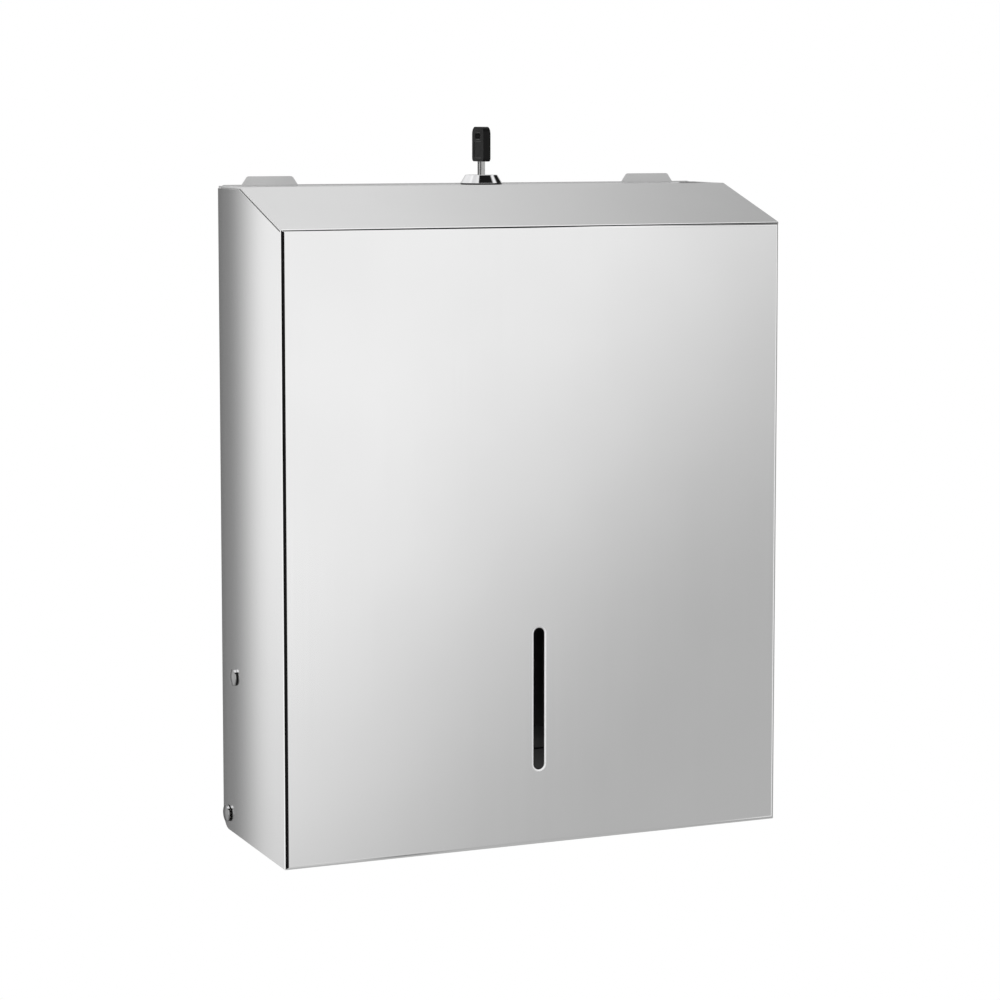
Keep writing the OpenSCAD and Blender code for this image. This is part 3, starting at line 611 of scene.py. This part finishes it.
def coverPolygons(s):
    low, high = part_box("front_cover")
    halfWidth, bottom, top = high.x, low.z, high.z
    front, rear = low.y, high.y
    bend, sheet = s["bend"], s["sheet"]
    shoulder = top - s["slopeRise"]
    slope = math.atan2(s["slopeRise"], -s["flatDepth"] - front)
    foldX, foldY = halfWidth - bend, front + bend
    lowZ = bottom + bend
    highZ = shoulder - bend * math.tan((math.pi / 2 - slope) / 2)
    mitre = math.pi / 2 - slope     # turn of the fold over the front's top edge
    topAngles = [mitre * k / s["frontSteps"] for k in range(s["frontSteps"] + 1)]
    cornerAngles = [mitre + slope * k / s["cornerSteps"] for k in range(s["cornerSteps"] + 1)]
    angles = topAngles + cornerAngles[1:]
    slopeDrop = sheet / math.cos(slope) + s["slopeSeam"]
    rim = top - sheet - s["seam"]
    faces = []
    rows = []

    def add(points, skin="steel"):
        faces.append(points)
        rows.append(coverSkins[skin])

    def slopeZ(y):
        return shoulder + (y - front) * math.tan(slope)

    def foldPoint(a):
        return foldX + bend * math.sin(a), foldY - bend * math.cos(a)

    def foldTop(a):
        # follows the top fold, then drops to the seam under the sloped top
        if a <= mitre:
            return highZ + bend * math.sin(a)
        return slopeZ(foldPoint(a)[1]) - slopeDrop * (a - mitre) / slope

    # front panel with half of the level window, whose edge dips in a little
    windowZ, lip = bottom + s["windowRise"], s["windowLip"]
    window = halfLoop((0, windowZ), s["windowWidth"], s["windowLength"], (s["windowWidth"] / 2,) * 2)
    brim = halfLoop((0, windowZ), s["windowWidth"] + 2 * lip, s["windowLength"] + 2 * lip,
                    (s["windowWidth"] / 2 + lip,) * 2)
    panel = [(0, lowZ), (foldX, lowZ), (foldX, highZ), (0, highZ)] + brim[::-1]
    add([(x, front, z) for x, z in panel])
    dip = front + s["windowDip"]
    for k in range(len(brim) - 1):
        (x0, z0), (x1, z1), (x2, z2), (x3, z3) = brim[k], brim[k + 1], window[k + 1], window[k]
        # the dipped lip takes the lighter steel: a painted highlight
        add([(x0, front, z0), (x1, front, z1), (x2, dip, z2), (x3, dip, z3)], "lip")

    # upright fold, lower fold and the fold over the top edge, which share their corners
    for k, (a, b) in enumerate(zip(angles, angles[1:])):
        (x0, y0), (x1, y1) = foldPoint(a), foldPoint(b)
        down0, down1 = lowZ - bend * math.sin(a), lowZ - bend * math.sin(b)
        up0, up1 = highZ + bend * math.sin(a), highZ + bend * math.sin(b)
        # fold steps in this range are painted near black: a painted dark reflection
        skin = "fold" if s["paintedReflectionSteps"][0] <= k < s["paintedReflectionSteps"][1] else "steel"
        add([(x0, y0, down0), (x1, y1, down1), (x1, y1, foldTop(b)), (x0, y0, foldTop(a))], skin)
        add([(0, y1, down1), (x1, y1, down1), (x0, y0, down0), (0, y0, down0)])
        if k < s["frontSteps"]:
            add([(0, y0, up0), (x0, y0, up0), (x1, y1, up1), (0, y1, up1)])

    # hem behind the lower fold
    hemX = halfWidth - sheet - s["seam"]
    hemY = front + s["hemDepth"]
    add([(0, foldY, bottom), (0, hemY, bottom), (hemX, hemY, bottom),
         (hemX, foldY + sheet + s["seam"], bottom), (halfWidth, foldY, bottom)])

    # sloped top, its bend, and the flat top with half of the lock's hole
    crownY, crownZ = -s["flatDepth"] + bend * math.tan(slope / 2), top - bend
    leans = [slope * (1 - k / s["crownSteps"]) for k in range(s["crownSteps"] + 1)]
    bendRows = [(crownY - bend * math.sin(a), crownZ + bend * math.cos(a)) for a in leans]
    edge = [(x, y, slopeZ(y)) for x, y in map(foldPoint, cornerAngles)]
    add([(0, *edge[0][1:])] + edge + [(halfWidth, *bendRows[0]), (0, *bendRows[0])])
    for one, two in zip(bendRows, bendRows[1:]):
        add([(0, *one), (halfWidth, *one), (halfWidth, *two), (0, *two)])
    holeWidth = 2 * (barrelRadius + s["holePlay"])
    hole = halfLoop((0, lockAxis.y), holeWidth, holeWidth, (holeWidth / 2,) * 2, s["lockSteps"])
    flat = [(0, crownY), (halfWidth, crownY), (halfWidth, -s["tabGap"]), (0, -s["tabGap"])]
    add([(x, y, top) for x, y in flat + hole[::-1]])

    # side panel in two faces, which meet on a line through the holes for pivot and stop
    pivot, stop = middleOf("pivot_bush_right").yz, middleOf("stop_bolt_right").yz
    pivotLeft, pivotRight = roundHole(pivot, boltSizes["shoulder"] + s["bushWall"] + s["holePlay"])
    stopLeft, stopRight = roundHole(stop, boltSizes["shoulder"] + s["holePlay"])
    knee = front + (rim + slopeDrop - shoulder) / math.tan(slope)
    crest = (stop.x, rim)
    ahead = [(foldY, bottom), (pivot.x, bottom)] + pivotLeft + stopLeft
    ahead += [crest, (knee, rim), (foldY, slopeZ(foldY) - slopeDrop)]
    behind = [(pivot.x, bottom)] + arcPoints(pivot, rear - pivot.x, -90, 0, s["rearSteps"])[1:]
    behind += [(rear, rim), crest] + stopRight + pivotRight
    add([(halfWidth, y, z) for y, z in ahead])
    add([(halfWidth, y, z) for y, z in behind])
    return faces, rows


def makeCover(s=coverSizes):
    faces, rows = coverPolygons(s)
    # only the left fold keeps the painted dark reflection; the right fold stays plain steel
    rightRows = [coverSkins["steel"] if row == coverSkins["fold"] else row for row in rows]
    mesh = meshFromPolygons("cover_sheet", faces + mirrored(faces), rightRows + rows)
    piece = addPiece("cover_sheet", mesh, "cover",
                     [coverSteel, foldPaintedReflection, lipPaintedHighlightSteel, cutSteel, insideSteelAndShade], "front_cover")
    thick = piece.modifiers.new("sheet", "SOLIDIFY")
    thick.thickness = s["sheet"]
    thick.offset = -1
    thick.use_even_offset = True
    thick.material_offset = coverSkins["inside"]
    thick.material_offset_rim = coverSkins["cut"]
    roundEdges(piece, s["edgeRound"], steps=3, angle=50, clamp=False).material = coverSkins["cut"]
    flatNormals(piece)


makeCover()
print("cover folded")


# pieces that keep their frame shape: finish, eased edges and clean shading

# node: its finish and the width of its eased edges in millimetres
keptPieces = {
    "back_plate": (plateSteel, 0.2), "towel_tray": (trayPaintedShadeSteel, 0.2), "lock_strike": (trayPaintedShadeSteel, 0.2),
    "tray_rivets": (rivetSteel, 0.1), "strike_rivets": (rivetSteel, 0.1),
    "pivot_bush_left": (whiteNylon, 0.15), "pivot_bush_right": (whiteNylon, 0.15),
    "stop_sleeve_left": (whiteNylon, 0.2), "stop_sleeve_right": (whiteNylon, 0.2),
    "stop_keeper_left": (zincSteel, 0.15), "stop_keeper_right": (zincSteel, 0.15),
    "lock_washer": (zincSteel, 0.12), "lock_cam": (zincSteel, 0.2), "cam_washer": (zincSteel, 0.12),
    "cam_screw": (zincSteel, 0.15), "lock_plug": (lockChrome, 0.12), "lock_wafers": (waferBrass, 0.06)}
keptSizes = dict(weld=1e-6, flatAngle=0.3, edgeSteps=2, edgeAngle=35)


def finishKept(name, material, ease, s=keptSizes):
    piece = nodes[name]
    piece.data.materials.clear()
    piece.data.materials.append(material)
    piece.modifiers.new("weld", "WELD").merge_threshold = s["weld"]
    plain = piece.modifiers.new("plain", "DECIMATE")
    plain.decimate_type = "DISSOLVE"
    plain.angle_limit = math.radians(s["flatAngle"])
    roundEdges(piece, ease * mm, s["edgeSteps"], s["edgeAngle"])
    flatNormals(piece)


for name, (material, ease) in keptPieces.items():
    finishKept(name, material, ease)
for name in ("lock_plug", "lock_wafers"):
    nodes[name].visible_glossy = False      # as the rest of the lock
print("kept pieces finished")


# studio: a light tent that only reflections see, a pale floor, a soft lamp and a white world

tentSizes = dict(centre=(0, -0.05, 0), radius=2.6, azimuths=360, elevations=120, highest=89)
tentTones = dict(pale=0.955, frontFall=0.49, lowFall=0.32, leftSide=0.42, leftHigh=0.8, rightBand=1.0,
                 rightSide=0.36, flank=1.1, keyShade=0.14, flatBack=0.55, highBack=0.73, backFall=0.31,
                 leftLift=0.2, strip=1.05, dark=0.012, zenith=0.55, nadir=0.5)
# where one tone passes into the next, in degrees: names with rise or drop are elevations, the rest azimuths
tentSpans = dict(
    lowDrop=(5, 28), lowRight=(2, 14),
    leftRise=(5, 20), leftSide=(48, 85), flank=(92, 108), flankRise=(-2, 2),
    rightBand=(34, 46), rightBandRise=(-30, -19), rightSide=(52, 64), rightSideDrop=(-30, -20),
    flat=(135, 145), flatRise=(2, 3.5), strip=(108, 122), stripRise=(39, 42),
    back=(105, 125), backRise=(8, 22), backFall=(20, 40), leftLift=(4, 20),
    keyStart=(-176, -170), keyEnd=(-146, -138), keyRise=(-5, -1), keyRiseEnd=(9, 13),
    overStart=(-50, -40), overEnd=(106, 124), overRise=(46, 51),
    rightStart=(48, 62), rightEnd=(126, 138), rightRise=(6, 14), rightRiseEnd=(36, 42),
    nadirDrop=(45, 65), zenithRise=(70, 80))
# the pale front fades along a slant that starts here
frontSlant = dict(azimuth=22.8, elevation=1, across=10, down=12.1, reach=1.67)


def tentTone(azimuth, elevation, t=tentTones, f=frontSlant):
    # azimuth 0 is in front of the part and grows to its right, both in degrees
    away = abs(azimuth)
    behind = 180 - away

    def fade(name, value):
        return smoothRamp(*tentSpans[name], value)

    def window(start, end, value):
        return fade(start, value) * (1 - fade(end, value))

    slant = (azimuth - f["azimuth"]) / f["across"] + (f["elevation"] - elevation) / f["down"]
    tone = t["pale"] - t["frontFall"] * smoothRamp(0, f["reach"], slant)
    tone -= t["lowFall"] * fade("lowDrop", -elevation) * (1 - fade("lowRight", azimuth))
    highBack = t["highBack"]
    if azimuth < 0:
        side = between(t["leftSide"], t["leftHigh"], fade("leftRise", elevation))
        tone = between(tone, side, fade("leftSide", away))
        tone = between(tone, t["flank"], fade("flank", away))
        highBack += t["leftLift"] * fade("leftLift", behind)
    else:
        tone = between(tone, t["rightBand"], fade("rightBand", away) * fade("rightBandRise", elevation))
        tone = between(tone, t["rightSide"], fade("rightSide", away) * fade("rightSideDrop", -elevation))
        tone = between(tone, t["flank"], fade("flank", away) * fade("flankRise", elevation))
        highBack -= t["backFall"] * fade("backFall", behind)
    tone = between(tone, t["flatBack"], fade("flatRise", elevation) * fade("flat", azimuth))
    tone = between(tone, highBack, fade("backRise", elevation) * fade("back", away))
    tone = between(tone, t["strip"], fade("stripRise", elevation) * fade("strip", azimuth))
    # a dark patch behind on the left for the key, and dark cloth overhead in front and on the right
    keyPatch = window("keyRise", "keyRiseEnd", elevation) * window("keyStart", "keyEnd", azimuth)
    tone = between(tone, t["keyShade"], keyPatch)
    overhead = fade("overRise", elevation) * window("overStart", "overEnd", azimuth)
    rightHigh = window("rightRise", "rightRiseEnd", elevation) * window("rightStart", "rightEnd", azimuth)
    tone = between(tone, t["dark"], max(overhead, rightHigh))
    tone = between(tone, t["nadir"], fade("nadirDrop", -elevation))
    return between(tone, t["zenith"], fade("zenithRise", elevation))


def toneCloth(name):
    # glows by the mesh's own tone and lets rays through where its density falls
    material = bpy.data.materials.new(name)
    material.use_nodes = True
    tree = material.node_tree
    tree.nodes.clear()
    tone = tree.nodes.new("ShaderNodeAttribute")
    tone.attribute_name = "tone"
    density = tree.nodes.new("ShaderNodeAttribute")
    density.attribute_name = "weave"
    glow = tree.nodes.new("ShaderNodeEmission")
    clear = tree.nodes.new("ShaderNodeBsdfTransparent")
    mix = tree.nodes.new("ShaderNodeMixShader")
    out = tree.nodes.new("ShaderNodeOutputMaterial")
    tree.links.new(tone.outputs["Fac"], glow.inputs["Strength"])
    tree.links.new(density.outputs["Fac"], mix.inputs["Fac"])
    tree.links.new(clear.outputs["BSDF"], mix.inputs[1])
    tree.links.new(glow.outputs["Emission"], mix.inputs[2])
    tree.links.new(mix.outputs["Shader"], out.inputs["Surface"])
    return material


def addCloth(name, points, faces, tones, densities, material):
    # only reflections see it
    mesh = bpy.data.meshes.new(name)
    mesh.from_pydata(points, [], faces)
    mesh.attributes.new("tone", "FLOAT", "POINT").data.foreach_set("value", tones)
    mesh.attributes.new("weave", "FLOAT", "POINT").data.foreach_set("value", densities)
    mesh.materials.append(material)
    cloth = bpy.data.objects.new(name, mesh)
    scene.collection.objects.link(cloth)
    cloth.visible_camera = False
    cloth.visible_diffuse = False
    cloth.visible_shadow = False
    cloth.visible_volume_scatter = False


def gridFaces(rows, columns, closed):
    faces = []
    for row in range(rows - 1):
        for column in range(columns if closed else columns - 1):
            beside = (column + 1) % columns
            faces.append((row * columns + column, row * columns + beside,
                          (row + 1) * columns + beside, (row + 1) * columns + column))
    return faces


def makeTent(material, s=tentSizes):
    centre = Vector(s["centre"])
    across, upward = s["azimuths"], s["elevations"]
    points = []
    tones = []
    for row in range(upward + 1):
        elevation = between(-s["highest"], s["highest"], row / upward)
        for column in range(across):
            azimuth = between(-180, 180, column / across)
            a, e = math.radians(azimuth), math.radians(elevation)
            way = Vector((math.sin(a) * math.cos(e), -math.cos(a) * math.cos(e), math.sin(e)))
            points.append(centre + s["radius"] * way)
            tones.append(tentTone(azimuth, elevation))
    faces = gridFaces(upward + 1, across, True)
    faces.append(tuple(reversed(range(across))))
    faces.append(tuple(range(upward * across, (upward + 1) * across)))
    addCloth("light_tent", points, faces, tones, [1] * len(points), material)


cardSizes = dict(back=0.02, start=0.002, thin=0.05, width=0.11, low=-0.3, solid=0.173, high=0.21,
                 columns=121, rows=45)
cardTones = dict(edge=0.185, dark=0.23, pale=0.93, lowFall=0.24)
# where the tones change, in metres: edge and pale out from the cover, fall downwards
cardSpans = dict(edge=(0.0076, 0.0092), pale=(0.01, 0.035), fall=(-0.05, 0.25))


def makeSideCards(material, s=cardSizes, t=cardTones, spans=cardSpans):
    # behind each side of the part: dark close to it and pale further out,
    # so that the sides shade towards the wall
    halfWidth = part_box("front_cover")[1].x
    for name, hand in (("left_card", -1), ("right_card", 1)):
        points = []
        tones = []
        densities = []
        for row in range(s["rows"]):
            z = between(s["low"], s["high"], row / (s["rows"] - 1))
            for column in range(s["columns"]):
                out = between(s["start"], s["width"], column / (s["columns"] - 1))
                points.append((hand * (halfWidth + out), s["back"], z))
                pale = t["pale"] - t["lowFall"] * smoothRamp(*spans["fall"], -z)
                tone = between(t["dark"], pale, smoothRamp(*spans["pale"], out))
                tones.append(between(t["edge"], tone, smoothRamp(*spans["edge"], out)))
                clear = smoothRamp(s["solid"], s["high"], z)
                densities.append((1 - smoothRamp(s["thin"], s["width"], out)) * (1 - clear))
        faces = gridFaces(s["rows"], s["columns"], False)
        addCloth(name, points, faces, tones, densities, material)


floorSizes = dict(drop=1.0, radius=1.5, solid=0.55, clear=0.98, rings=24, spokes=96)
floorTones = dict(tones=grey(0.84, 0.87), mottle=40, rough=0.9)


def makeFloor(s=floorSizes, t=floorTones):
    points = [(0, 0, -s["drop"])]
    for ring in range(1, s["rings"] + 1):
        for spoke in range(s["spokes"]):
            a = 2 * math.pi * spoke / s["spokes"]
            r = s["radius"] * ring / s["rings"]
            points.append((r * math.cos(a), r * math.sin(a), -s["drop"]))
    faces = []
    for spoke in range(s["spokes"]):
        beside = (spoke + 1) % s["spokes"]
        faces.append((0, 1 + spoke, 1 + beside))
        for ring in range(s["rings"] - 1):
            inner, outer = 1 + ring * s["spokes"], 1 + (ring + 1) * s["spokes"]
            faces.append((inner + spoke, outer + spoke, outer + beside, inner + beside))
    mesh = bpy.data.meshes.new("floor")
    mesh.from_pydata(points, [], faces)
    material, tree, shader = newMaterial("pale floor")
    shader.inputs["Roughness"].default_value = t["rough"]
    shade = twoTones(tree, cloud(tree, (t["mottle"],) * 3), *t["tones"])
    tree.links.new(shade, shader.inputs["Base Color"])
    # the rim of the floor fades into the white world
    where = tree.nodes.new("ShaderNodeTexCoord")
    reach = tree.nodes.new("ShaderNodeVectorMath")
    reach.operation = "LENGTH"
    flatten = tree.nodes.new("ShaderNodeVectorMath")
    flatten.operation = "MULTIPLY"
    flatten.inputs[1].default_value = (1, 1, 0)
    fade = tree.nodes.new("ShaderNodeMapRange")
    fade.interpolation_type = "SMOOTHSTEP"
    fade.inputs["From Min"].default_value = s["radius"] * s["solid"]
    fade.inputs["From Max"].default_value = s["radius"] * s["clear"]
    clear = tree.nodes.new("ShaderNodeBsdfTransparent")
    mix = tree.nodes.new("ShaderNodeMixShader")
    out = tree.nodes["Material Output"]
    tree.links.new(where.outputs["Object"], flatten.inputs[0])
    tree.links.new(flatten.outputs["Vector"], reach.inputs[0])
    tree.links.new(reach.outputs["Value"], fade.inputs["Value"])
    tree.links.new(fade.outputs["Result"], mix.inputs["Fac"])
    tree.links.new(shader.outputs["BSDF"], mix.inputs[1])
    tree.links.new(clear.outputs["BSDF"], mix.inputs[2])
    tree.links.new(mix.outputs["Shader"], out.inputs["Surface"])
    mesh.materials.append(material)
    floor = bpy.data.objects.new("floor", mesh)
    scene.collection.objects.link(floor)
    floor.visible_glossy = False    # metal shows the tent instead


worldTones = dict(white=1.0, fill=0.62)


def makeWorld(t=worldTones):
    # white to lens, metal and glass, a calmer fill for matt surfaces
    world = bpy.data.worlds.new("white studio")
    scene.world = world
    world.use_nodes = True
    tree = world.node_tree
    tree.nodes.clear()
    path = tree.nodes.new("ShaderNodeLightPath")
    sources = []
    for level in (t["fill"], t["white"]):
        background = tree.nodes.new("ShaderNodeBackground")
        background.inputs["Color"].default_value = (1, 1, 1, 1)
        background.inputs["Strength"].default_value = level
        sources.append(background)
    share = path.outputs["Is Camera Ray"]
    for other in ("Is Glossy Ray", "Is Transmission Ray"):
        either = tree.nodes.new("ShaderNodeMath")
        either.operation = "MAXIMUM"
        tree.links.new(share, either.inputs[0])
        tree.links.new(path.outputs[other], either.inputs[1])
        share = either.outputs["Value"]
    mix = tree.nodes.new("ShaderNodeMixShader")
    out = tree.nodes.new("ShaderNodeOutputWorld")
    tree.links.new(share, mix.inputs["Fac"])
    tree.links.new(sources[0].outputs["Background"], mix.inputs[1])
    tree.links.new(sources[1].outputs["Background"], mix.inputs[2])
    tree.links.new(mix.outputs["Shader"], out.inputs["Surface"])


lampSizes = dict(place=(-1.7, -1.2, 1.9), aim=(0, 0, 0), width=1.6, power=18)


def makeLamp(s=lampSizes):
    data = bpy.data.lights.new("soft_lamp", "AREA")
    data.size = s["width"]
    data.energy = s["power"]
    lamp = bpy.data.objects.new("soft_lamp", data)
    lamp.location = s["place"]
    lamp.rotation_euler = (Vector(s["aim"]) - Vector(s["place"])).to_track_quat("-Z", "Y").to_euler()
    lamp.visible_glossy = False     # metal shows the tent, not the lamp
    scene.collection.objects.link(lamp)


studioCloth = toneCloth("studio cloth")
makeTent(studioCloth)
makeSideCards(studioCloth)
makeFloor()
makeWorld()
makeLamp()
scene.view_settings.view_transform = "Standard"
print("studio lit")


# camera at the photograph's viewing angle

cameraSizes = dict(place=(-0.6012, -1.4645, 0.2064), turn=23.052, tilt=5.532,
                   lens=104.0, sensor=36, shiftY=-0.1, clipStart=0.02)


def makeCamera(s=cameraSizes):
    data = bpy.data.cameras.new("photo_camera")
    data.lens = s["lens"]
    data.sensor_width = s["sensor"]
    data.shift_y = s["shiftY"]
    data.clip_start = s["clipStart"]
    camera = bpy.data.objects.new("photo_camera", data)
    camera.location = s["place"]
    camera.rotation_euler = (math.radians(90 - s["tilt"]), 0, math.radians(-s["turn"]))
    scene.collection.objects.link(camera)
    scene.camera = camera


makeCamera()
print("camera set")
